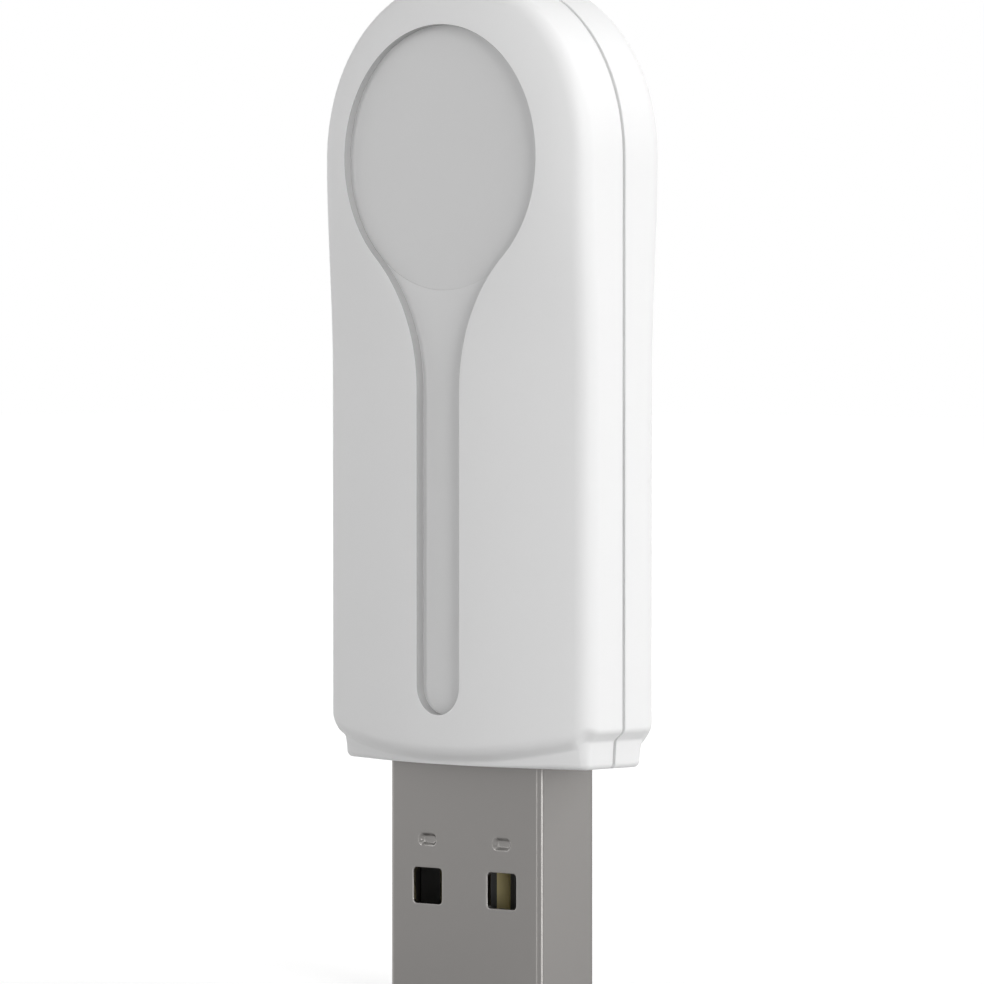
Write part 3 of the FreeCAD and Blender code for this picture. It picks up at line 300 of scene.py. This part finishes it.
def half_shell(side):
    """One half as a closed mesh, with the recess in the front one."""
    mesh = bmesh.new()
    corner = CORNER[side]
    head_form = form_at(HEAD, corner)
    right, fan, rims = lower_rows(side), [], []
    for x, z, across, up in recess_stations():
        edge_x, edge_z = x + LIP * across, z + LIP * up
        if edge_z < HEAD - HAIR:
            form = form_at(edge_z, corner)
            inner = edge_x if side == FRONT else 0.0
            right.append([(px, py, edge_z) for px, py, _, _ in outline(form, inner)])
            rims.append((x, z, across, up, height_at(form, edge_x)))
        else:
            inner = DISC_RADIUS + LIP if side == FRONT else 0.0
            fuller = FULLER * (2 * across * up) ** 2 / (HALF - inner)
            fan.append([((px + (px - inner) * fuller) * across, py,
                         HEAD + (px + (px - inner) * fuller) * up)
                        for px, py, _, _ in outline(head_form, inner)])
            rims.append((x, z, across, up, height_at(head_form, DISC_RADIUS + LIP)))
    rows = right + fan + mirrored(fan[:-1]) + mirrored(right)
    grid(mesh, [[(x, y * side, z) for x, y, z in row] for row in rows])

    cavity = [(HALF - WALL, 0.0), (HALF - WALL, DEPTH - WALL - BODY_DROP), (BODY_FLAT, DEPTH - WALL),
              (0.0, DEPTH - WALL)]
    inside = [[(x, y, z) for x, y in cavity] for z in (NOSE_TOP, HEAD)]
    swept = [[(x * math.cos(turn), y, HEAD + x * math.sin(turn)) for x, y in cavity]
             for turn in turns(0, QUARTER, 6)[1:]]
    inside_rows = inside + swept + mirrored(swept[:-1]) + mirrored(inside)
    grid(mesh, [[(x, y * side, z) for x, y, z in row] for row in inside_rows])

    slot = rows[0]
    patch(mesh, [(x, y * side, z) for x, y, z in slot]
          + [(-x, y * side, z) for x, y, z in reversed(slot[:-1])]
          + [(-x, y * side, NOSE_TOP) for x, y in cavity]
          + [(x, y * side, NOSE_TOP) for x, y in reversed(cavity[:-1])])
    patch(mesh, [row[0] for row in rows] + [row[0] for row in reversed(inside_rows)])
    if side == FRONT:
        recess(mesh, rims)
    return mesh


def colour(text):
    """An sRGB hex colour as the linear values that a shader takes."""
    parts = [int(text[first:first + 2], 16) / 255 for first in (0, 2, 4)]
    linear = [part / 12.92 if part <= 0.04045 else ((part + 0.055) / 1.055) ** 2.4 for part in parts]
    return (*linear, 1.0)


def add_node(material, kind, settings=None, inputs=None, links=None):
    """Add one node: its settings, its fixed inputs, and links from other nodes' outputs."""
    node = material.node_tree.nodes.new(kind)
    for name, setting in (settings or {}).items():
        setattr(node, name, setting)
    for name, given in (inputs or {}).items():
        node.inputs[name].default_value = given
    for name, (source, output) in (links or {}).items():
        material.node_tree.links.new(source.outputs[output], node.inputs[name])
    return node


def new_material(name, shown, rough, **sockets):
    """A material with an even colour and roughness, and any other fixed inputs of its shader."""
    material = bpy.data.materials.new(name)
    material.use_nodes = True
    surface = material.node_tree.nodes["Principled BSDF"]
    surface.inputs["Base Color"].default_value = colour(shown)
    surface.inputs["Roughness"].default_value = rough
    for socket, given in sockets.items():
        surface.inputs[socket.replace("_", " ")].default_value = given
    return material, surface


def grain(material, surface, size, height, stretch=(1, 1, 1)):
    """Fine relief of the surface, with its size and height in millimetres.

    Real grain is too fine to show at this size, so every grain is drawn as coarse as it must be.
    """
    place = add_node(material, "ShaderNodeTexCoord")
    spread = add_node(material, "ShaderNodeMapping", inputs={"Scale": stretch},
                      links={"Vector": (place, "Object")})
    noise = add_node(material, "ShaderNodeTexNoise",
                     inputs={"Scale": 1 / (size * MM), "Roughness": 0.6},
                     links={"Vector": (spread, "Vector")})
    relief = add_node(material, "ShaderNodeBump", inputs={"Strength": 1.0, "Distance": height * MM},
                      links={"Height": (noise, "Fac")})
    material.node_tree.links.new(relief.outputs["Normal"], surface.inputs["Normal"])


# Moulded ABS: an even satin white. The mould's fine spark-eroded grain only breaks up the gloss.
abs_white, surface = new_material("moulded_abs_white", "ECECEC", 0.45, IOR=1.52,
                                  Specular_IOR_Level=0.3)
grain(abs_white, surface, 0.25, 0.0004)

# The same ABS, rougher and with a coarser grain, in colours with painted shade: a slightly darker floor
# and grey walls stand in for the shade in the recess.
floor_shade_abs, surface = new_material("recess_floor_painted_shade", "E8E8E8", 0.7, IOR=1.52,
                                  Specular_IOR_Level=0.15)
grain(floor_shade_abs, surface, 0.25, 0.0006)
wall_shade_abs, surface = new_material("recess_wall_painted_shade", "ACACAC", 0.7, IOR=1.52,
                                 Specular_IOR_Level=0.15)
grain(wall_shade_abs, surface, 0.25, 0.0006)

finish_piece(half_shell(FRONT), "front_half_shell", [abs_white, floor_shade_abs, wall_shade_abs],
             "front_shell")
finish_piece(half_shell(REAR), "rear_half_shell", [abs_white], "rear_shell")

# Inlaid disc
# A thin round inlay of white ABS, punched and glued into the round part of the recess. Its
# face lies a hair below the recess floor, so the floor's edge catches the light round it.

# Round of the edge, gap all round, and depth of the face below the recess floor.
EDGE, FIT, SUNK = 0.01, 0.003, 0.012


def inlay():
    """The disc as a closed mesh, turned about its middle from its profile."""
    mesh = bmesh.new()
    radius = DISC_RADIUS - FIT
    back = -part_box("face_disc")[1].y / MM
    face = RECESS - SUNK
    profile = [(0.0, face)]
    for turn in steps(0, QUARTER, 4):
        profile.append((radius - EDGE + EDGE * math.sin(turn), face - EDGE + EDGE * math.cos(turn)))
    profile += [(radius, back), (0.0, back)]
    rows = [[(r * math.cos(turn), -y, HEAD + r * math.sin(turn)) for r, y in profile]
            for turn in turns(0, 2 * math.pi)[:-1]]
    grid(mesh, rows, closed=True)
    return mesh


# Punched ABS sheet: the housing's white, a touch greyer and with a satin face.
inlay_white, surface = new_material("satin_abs_sheet", "E0E0E0", 0.5, IOR=1.52,
                                    Specular_IOR_Level=0.25)
grain(inlay_white, surface, 0.2, 0.0003)

finish_piece(inlay(), "inlaid_disc", [inlay_white], "face_disc")

# Plug shell
# Steel sheet, punched and folded round into a tube, with its ends locked in a dovetail at the
# back, then nickel plated. It has square windows, and pressed dimples in front only.

# Tube: size, solder legs, sheet, bends, coined rim, and the margin kept flat beside each round.
low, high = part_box("plug_shell")
PLUG_HALF, PLUG_DEPTH, LEG_END = high.x / MM, high.y / MM, high.z / MM
LEG_LONG, LEG_FRONT, LEG_BACK = 2.1, 0.9, 1.6
PLUG_TOP = LEG_END - LEG_LONG
SHEET, BEND, RIM, MARGIN = 0.3, 0.35, 0.08, 0.12
FLAT, START = PLUG_HALF - BEND - MARGIN, RIM + MARGIN

# Windows, dimples and the dovetail joint.
WINDOW_X, WINDOW_Z = 2.94, 6.28
WINDOW_HALF, WINDOW_RISE, WINDOW_CORNER, ROLL = 1.13, 1.03, 0.24, 0.05
AROUND = ROLL + MARGIN
DIMPLE_Z, DIMPLE_HALF, DIMPLE_RISE, DIMPLE_DEEP = 8.95, 0.75, 0.425, 0.22
DIMPLE_WALL, DIMPLE_CORNER = 0.3, 0.415
SEAM_GAP = 0.06
LOCK_LOW, LOCK_HIGH, LOCK_OUT, LOCK_FLARE = 8.4, 10.4, 0.8, 0.3


def rounded(x, z, half, rise, corner):
    """Outline of a rounded rectangle on the plug: places and the directions out of it."""
    ring = []
    for right, up, first in ((1, 1, 0), (-1, 1, 1), (-1, -1, 2), (1, -1, 3)):
        for turn in steps(first * QUARTER, (first + 1) * QUARTER, 6):
            across, out = math.cos(turn), math.sin(turn)
            ring.append((x + right * (half - corner) + corner * across,
                         z + up * (rise - corner) + corner * out, across, out))
    return ring


def wrap(depth):
    """Section of the tube at one side, at a depth in the sheet: bend, side and bend."""
    radius = BEND - depth
    back = [(FLAT, PLUG_DEPTH - depth)]
    for turn in steps(0, QUARTER, 8):
        back.append((PLUG_HALF - BEND + radius * math.sin(turn),
                     PLUG_DEPTH - BEND + radius * math.cos(turn)))
    return back + [(x, -y) for x, y in reversed(back)]


def panel(mesh, outlines, y):
    """A flat panel of the sheet: its own outline first, then those of the holes in it."""
    edges = []
    for points in outlines:
        ring = [mesh.verts.new((x, y, z)) for x, z in points]
        edges += [mesh.edges.new(pair) for pair in zip(ring, ring[1:] + ring[:1])]
    bmesh.ops.triangle_fill(mesh, edges=edges, use_beauty=True)


def seam_edge(side):
    """One edge of the folded sheet, with the dovetail that holds it to the other edge."""
    gap = side * SEAM_GAP / 2
    return [(gap, START), (gap, LOCK_LOW - gap), (LOCK_OUT + gap, LOCK_LOW - LOCK_FLARE - gap),
            (LOCK_OUT + gap, LOCK_HIGH + LOCK_FLARE + gap), (gap, LOCK_HIGH + gap), (gap, PLUG_TOP)]


def sheet_rim():
    """The coined edge of the sheet at the plug's open end: heights and depths in the sheet."""
    outer = [(RIM * (1 - math.sin(turn)), RIM * (1 - math.cos(turn)))
             for turn in steps(0, QUARTER, 3)]
    inner = [(z, SHEET - depth) for z, depth in reversed(outer)]
    return [(START, 0.0)] + outer + inner + [(START, SHEET)]


def tube(mesh, rim):
    """The bends and narrow sides of the tube, and the ends of its broad panels."""
    rows = [(PLUG_TOP, 0.0)] + rim + [(PLUG_TOP, SHEET)]
    for side in (-1, 1):
        grid(mesh, [[(side * x, y, z) for x, y in wrap(depth)] for z, depth in rows], closed=True)
    for left, right, face in ((-FLAT, FLAT, -1), (-FLAT, -SEAM_GAP / 2, 1), (SEAM_GAP / 2, FLAT, 1)):
        for line in (rim, [rows[-1], rows[0]]):
            grid(mesh, [[(x, face * (PLUG_DEPTH - depth), z) for x in (left, right)]
                        for z, depth in line])


def broad_panels(mesh, rim, windows, dimples):
    """The broad panels with their holes, and the joint and the solder legs at the back."""
    wide = [[(x + AROUND * across, z + AROUND * up) for x, z, across, up in ring] for ring in windows]
    sharp = [[(x, z) for x, z, _, _ in ring] for ring in windows]
    pressed = [[(x + MARGIN * across, z + MARGIN * up) for x, z, across, up in ring]
               for ring in dimples]
    frontal = [(-FLAT, START), (FLAT, START), (FLAT, PLUG_TOP), (-FLAT, PLUG_TOP)]
    panel(mesh, [frontal] + wide + pressed, -PLUG_DEPTH)
    panel(mesh, [frontal] + sharp, SHEET - PLUG_DEPTH)
    for hand, side in enumerate((-1, 1)):
        edge = seam_edge(side)
        behind = edge + [(side * FLAT, PLUG_TOP), (side * FLAT, START)]
        panel(mesh, [behind, wide[hand]], PLUG_DEPTH)
        panel(mesh, [behind, sharp[hand]], PLUG_DEPTH - SHEET)
        grid(mesh, [[(x, PLUG_DEPTH - depth, z) for x, z in edge] for depth in (0.0, SHEET)])
        patch(mesh, [(side * SEAM_GAP / 2, PLUG_DEPTH - depth, z) for z, depth in rim])
        inner, outer = side * (PLUG_HALF - SHEET), side * PLUG_HALF
        leg = [(inner, -LEG_FRONT), (outer, -LEG_FRONT), (outer, LEG_BACK), (inner, LEG_BACK)]
        grid(mesh, [[(x, y, z) for x, y in leg + leg[:1]] for z in (PLUG_TOP, LEG_END)])
        for z in (PLUG_TOP, LEG_END):
            patch(mesh, [(x, y, z) for x, y in leg])


def window_edge(mesh, ring, face):
    """The sheared edge of a window in one face, with the rolled round that the punch leaves."""
    sides = []
    for x, z, across, up in ring + ring[:1]:
        line = [(x + AROUND * across, face * PLUG_DEPTH, z + AROUND * up)]
        for turn in steps(0, QUARTER, 3):
            out = ROLL * (1 - math.sin(turn))
            line.append((x + out * across, face * (PLUG_DEPTH - ROLL * (1 - math.cos(turn))),
                         z + out * up))
        sides.append(line + [(x, face * (PLUG_DEPTH - SHEET), z)])
    grid(mesh, sides)


def dimple(mesh, ring):
    """A dimple pressed into the front: steep round walls and a flat floor."""
    bowl = []
    for x, z, across, up in ring + ring[:1]:
        line = [(x + MARGIN * across, -PLUG_DEPTH, z + MARGIN * up)]
        for share in steps(0, 1, 14):
            pull = share * DIMPLE_WALL
            deep = DIMPLE_DEEP * math.sin(share * QUARTER) ** 2
            line.append((x - pull * across, deep - PLUG_DEPTH, z - pull * up))
        bowl.append(line)
    grid(mesh, bowl)
    patch(mesh, [line[-1] for line in bowl[:-1]])


def folded_shell():
    """The whole folded sheet as a closed mesh."""
    mesh = bmesh.new()
    rim = sheet_rim()
    windows = [rounded(hand * WINDOW_X, WINDOW_Z, WINDOW_HALF, WINDOW_RISE, WINDOW_CORNER)
               for hand in (-1, 1)]
    dimples = [rounded(hand * WINDOW_X, DIMPLE_Z, DIMPLE_HALF, DIMPLE_RISE, DIMPLE_CORNER)
               for hand in (-1, 1)]
    tube(mesh, rim)
    broad_panels(mesh, rim, windows, dimples)
    for face in (-1, 1):
        for ring in windows:
            window_edge(mesh, ring, face)
    for ring in dimples:
        dimple(mesh, ring)
    return mesh


# Nickel on cold-rolled steel: dull grey metal. The strip's rolled grain runs round the tube, so
# reflections are drawn out along the plug and the bends show fine bright and dark lines.
nickel, surface = new_material("nickel_plated_rolled_steel", "807E7C", 0.3, Metallic=1.0,
                               Anisotropic=0.9, Anisotropic_Rotation=0.25)
grain(nickel, surface, 0.06, 0.0003, stretch=(0.05, 0.05, 1))
round_tube = add_node(nickel, "ShaderNodeTangent", {"direction_type": "RADIAL", "axis": "Z"})
nickel.node_tree.links.new(round_tube.outputs["Tangent"], surface.inputs["Tangent"])

finish_piece(folded_shell(), "folded_plug_shell", [nickel], "plug_shell")

# Plug insulator and contacts
# A dark moulded block with a tongue, and four strips of gold-plated bronze laid in it. Both
# show through the plug's windows.


def dress(material, *nodes):
    """Put a material on CAD nodes."""
    for name in nodes:
        for slot in bpy.data.objects[name].material_slots:
            slot.link = "OBJECT"
            slot.material = material


# Moulded PBT: dark grey, with a soft shine where it looks out through the windows.
dark_pbt, surface = new_material("moulded_pbt_dark_grey", "5C5C5C", 0.4, IOR=1.55)
grain(dark_pbt, surface, 0.15, 0.0004)
dress(dark_pbt, "plug_insulator")

# Gold over bronze strip: pale, dull yellow metal with fine rolling lines along each contact.
gold, surface = new_material("gold_plated_bronze", "E6D8A2", 0.35, Metallic=1.0)
grain(gold, surface, 0.1, 0.003, stretch=(1, 1, 0.04))
dress(gold, "power_contact", "data_contact_minus", "data_contact_plus", "ground_contact")

# Circuit board
# Glass-cloth laminate, printed with green solder resist on both faces and routed to its outline.
# It sits on two pins and is clamped on ribs between the halves.

# Resist over laminate: glossy dark green on the faces, dull straw-coloured laminate on the edges.
RESIST, LAMINATE, FACE_SHARE = "12502E", "B9A66B", 0.7
board, surface = new_material("solder_resist_on_laminate", RESIST, 0.3, IOR=1.5)
grain(board, surface, 0.5, 0.003)
facing = add_node(board, "ShaderNodeTexCoord")
parts = add_node(board, "ShaderNodeSeparateXYZ", links={"Vector": (facing, "Normal")})
level = add_node(board, "ShaderNodeMath", {"operation": "ABSOLUTE"}, links={0: (parts, "Y")})
face = add_node(board, "ShaderNodeMath", {"operation": "GREATER_THAN"}, {1: FACE_SHARE},
                {0: (level, 0)})
paint = add_node(board, "ShaderNodeMix", {"data_type": "RGBA"},
                 {"A": colour(LAMINATE), "B": colour(RESIST)}, {"Factor": (face, 0)})
board.node_tree.links.new(paint.outputs["Result"], surface.inputs["Base Color"])
dress(board, "circuit_board")

# Parts on the board
# Surface-mounted parts: fired ceramic chips with tinned ends, moulded packages with tinned
# leads, and a crystal in a welded can.

# Tinned ends, and the lengths of the chips and packages along which their tin is placed.
TIN, TIN_ROUGH = "B8B8B4", 0.35
CHIP_END = 0.35
CHIP_LENGTH, BULK_LENGTH, ANTENNA_LENGTH = 1.6, 2.0, 7.0
BARE = CHIP_LENGTH - 2 * CHIP_END
LEAD_SPAN, LEAD_BODY = 2.8, 1.6


def tinned(name, body, rough, axis, length, bare, nodes):
    """Material with a body colour for a bare middle length along an axis, and tin beyond it."""
    material, surface = new_material(name, body, rough)
    place = add_node(material, "ShaderNodeTexCoord")
    parts = add_node(material, "ShaderNodeSeparateXYZ", links={"Vector": (place, "Generated")})
    away = add_node(material, "ShaderNodeMath", {"operation": "SUBTRACT"}, {1: 0.5}, {0: (parts, axis)})
    far = add_node(material, "ShaderNodeMath", {"operation": "ABSOLUTE"}, links={0: (away, 0)})
    tin = add_node(material, "ShaderNodeMath", {"operation": "GREATER_THAN"},
                   {1: bare / length / 2}, {0: (far, 0)})
    paint = add_node(material, "ShaderNodeMix", {"data_type": "RGBA"},
                     {"A": colour(body), "B": colour(TIN)}, {"Factor": (tin, 0)})
    shine = add_node(material, "ShaderNodeMapRange", inputs={"To Min": rough, "To Max": TIN_ROUGH},
                     links={"Value": (tin, 0)})
    material.node_tree.links.new(paint.outputs["Result"], surface.inputs["Base Color"])
    material.node_tree.links.new(shine.outputs["Result"], surface.inputs["Roughness"])
    material.node_tree.links.new(tin.outputs[0], surface.inputs["Metallic"])
    dress(material, *nodes)


# Fired ceramic capacitors: matt tan bodies between bright tinned ends.
tinned("capacitor_ceramic_upright", "A07B52", 0.5, "Z", CHIP_LENGTH, BARE,
       ["crystal_capacitor_1", "crystal_capacitor_2", "decoupling_capacitor_1",
        "decoupling_capacitor_2"])
tinned("capacitor_ceramic_level", "A07B52", 0.5, "X", CHIP_LENGTH, BARE,
       ["regulator_capacitor", "matching_capacitor_1", "matching_capacitor_2"])
tinned("bulk_capacitor_ceramic", "8E6A45", 0.5, "Z", BULK_LENGTH, BULK_LENGTH - 2 * CHIP_END,
       ["supply_capacitor"])

# Glaze over alumina: glossy black between bright tinned ends.
tinned("resistor_glaze_on_alumina", "1A1A1C", 0.25, "X", CHIP_LENGTH, BARE,
       ["pull_up_resistor", "data_resistor_plus", "data_resistor_minus"])

# Pressed ferrite and wound ceramic: a dull dark grey bead, and satin blue-grey coils.
tinned("ferrite_bead_body", "3A3A3E", 0.6, "Z", CHIP_LENGTH, BARE, ["supply_bead"])
tinned("coil_ceramic_blue_grey", "4A5666", 0.45, "X", CHIP_LENGTH, BARE,
       ["matching_coil_1", "matching_coil_2"])

# Fired white ceramic: an off-white antenna with a soft shine.
tinned("antenna_fired_ceramic", "DAD8D0", 0.4, "X", ANTENNA_LENGTH, ANTENNA_LENGTH - 2 * CHIP_END,
       ["chip_antenna"])

# Moulded epoxy: dull black, with bright tinned leads at both ends.
tinned("moulded_epoxy_with_leads", "26262A", 0.55, "Z", LEAD_SPAN, LEAD_BODY,
       ["surge_suppressor", "voltage_regulator"])

# Moulded epoxy: dull black with the fine sanded look of a moulded package.
epoxy, surface = new_material("moulded_epoxy_black", "26262A", 0.55)
grain(epoxy, surface, 0.08, 0.002)
dress(epoxy, "radio_chip")

# Drawn can: bright tinned steel with a soft sheen.
can, surface = new_material("drawn_tinned_steel", "B4B2AC", 0.3, Metallic=1.0)
grain(can, surface, 0.1, 0.0004)
dress(can, "crystal")

# Floor, light and camera
# A sheet of matt paper in a white studio, large soft boxes round the object, and a long lens
# at about the height of its middle. Sizes are in metres here, and turns in degrees.


def seen(material):
    """One where the camera, a reflection or glass looks at the surface, and nought elsewhere."""
    path = add_node(material, "ShaderNodeLightPath")
    look = add_node(material, "ShaderNodeMath", {"operation": "MAXIMUM"},
                    links={0: (path, "Is Camera Ray"), 1: (path, "Is Glossy Ray")})
    return add_node(material, "ShaderNodeMath", {"operation": "MAXIMUM"},
                    links={0: (look, 0), 1: (path, "Is Transmission Ray")})


# Floor: half its width, its glow by the object, and the distance at which it is full white.
FLOOR_REACH, NEAR_GLOW, FADE_TO = 1.5, 0.57, 0.4
floor_mesh = bpy.data.meshes.new("studio_floor")
floor_mesh.from_pydata([(x * FLOOR_REACH, y * FLOOR_REACH, 0)
                        for x, y in ((-1, -1), (1, -1), (1, 1), (-1, 1))], [], [(0, 1, 2, 3)])
studio_floor = bpy.data.objects.new("studio_floor", floor_mesh)
bpy.context.collection.objects.link(studio_floor)
# Matt paper: it looks white all round, and near the object it shows the soft shadow.
paper, surface = new_material("matt_white_paper", "D6D6D6", 1.0, Specular_IOR_Level=0.0,
                              Emission_Color=(1, 1, 1, 1))
looked_at = seen(paper)
place = add_node(paper, "ShaderNodeTexCoord")
away = add_node(paper, "ShaderNodeVectorMath", {"operation": "LENGTH"}, links={0: (place, "Object")})
fade = add_node(paper, "ShaderNodeMapRange",
                inputs={"From Max": FADE_TO, "To Min": NEAR_GLOW, "To Max": 1.0},
                links={"Value": (away, "Value")})
glow = add_node(paper, "ShaderNodeMath", {"operation": "MULTIPLY"},
                links={0: (fade, "Result"), 1: (looked_at, 0)})
paper.node_tree.links.new(glow.outputs[0], surface.inputs["Emission Strength"])
floor_mesh.materials.append(paper)

# White backdrop: the camera and reflections see it at full strength, and it lights only faintly.
world = bpy.data.worlds.new("studio")
bpy.context.scene.world = world
world.use_nodes = True
back = world.node_tree.nodes["Background"]
WORLD_LEVEL = 0.02
level = add_node(world, "ShaderNodeMapRange", inputs={"To Min": WORLD_LEVEL, "To Max": 1.0},
                 links={"Value": (seen(world), 0)})
world.node_tree.links.new(level.outputs[0], back.inputs["Strength"])
back.inputs["Color"].default_value = (1, 1, 1, 1)

# About the middle of the object, where every lamp points.
MIDDLE = Vector((0, 0, 30 * MM))


def lamp(name, turn, rise, distance, width, height, power):
    """A soft box that stands at a turn from the front towards +X, and a rise above level."""
    data = bpy.data.lights.new(name, "AREA")
    data.shape = "RECTANGLE"
    data.size = width
    data.size_y = height
    data.energy = power
    holder = bpy.data.objects.new(name, data)
    bpy.context.collection.objects.link(holder)
    around, up = math.radians(turn), math.radians(rise)
    away = Vector((math.sin(around) * math.cos(up), -math.cos(around) * math.cos(up), math.sin(up)))
    holder.location = MIDDLE + away * distance
    holder.rotation_mode = "QUATERNION"
    holder.rotation_quaternion = away.to_track_quat("Z", "Y")


# Each box: name, turn, rise, distance, width, height and power in watts.
LAMPS = [
    ("left_box", -70, 10, 0.7, 0.35, 0.8, 1.42),
    ("front_strip", -28, 16, 0.7, 0.16, 0.4, 0.84),
    ("side_box", 75, 16, 0.7, 0.35, 0.4, 3.18),
    ("rear_side_box", 128, 10, 0.7, 0.35, 0.8, 0.8),
    ("high_front_box", 0, 50, 0.7, 0.5, 0.5, 0.64),
    ("high_rear_box", 140, 50, 0.7, 0.5, 0.5, 2.15),
]
for row in LAMPS:
    lamp(*row)

# The camera stands at the front right, a little above the middle of the object.
CAMERA_TURN, CAMERA_AWAY, CAMERA_HEIGHT, AIM_HEIGHT = 43.86, 0.430, 0.04042, 0.02888
LENS, SENSOR, SHIFT = 274.97, 36, 0.00039
NEAREST, FARTHEST = 0.01, 10
camera = bpy.data.cameras.new("camera")
camera.lens = LENS
camera.sensor_width = SENSOR
camera.shift_x = SHIFT
camera.clip_start = NEAREST
camera.clip_end = FARTHEST
viewer = bpy.data.objects.new("camera", camera)
bpy.context.collection.objects.link(viewer)
bpy.context.scene.camera = viewer
around = math.radians(CAMERA_TURN)
viewer.location = (CAMERA_AWAY * math.sin(around), -CAMERA_AWAY * math.cos(around), CAMERA_HEIGHT)
viewer.rotation_mode = "QUATERNION"
viewer.rotation_quaternion = (Vector((0, 0, AIM_HEIGHT)) - viewer.location).to_track_quat("-Z", "Y")
bpy.context.scene.view_settings.view_transform = "Standard"
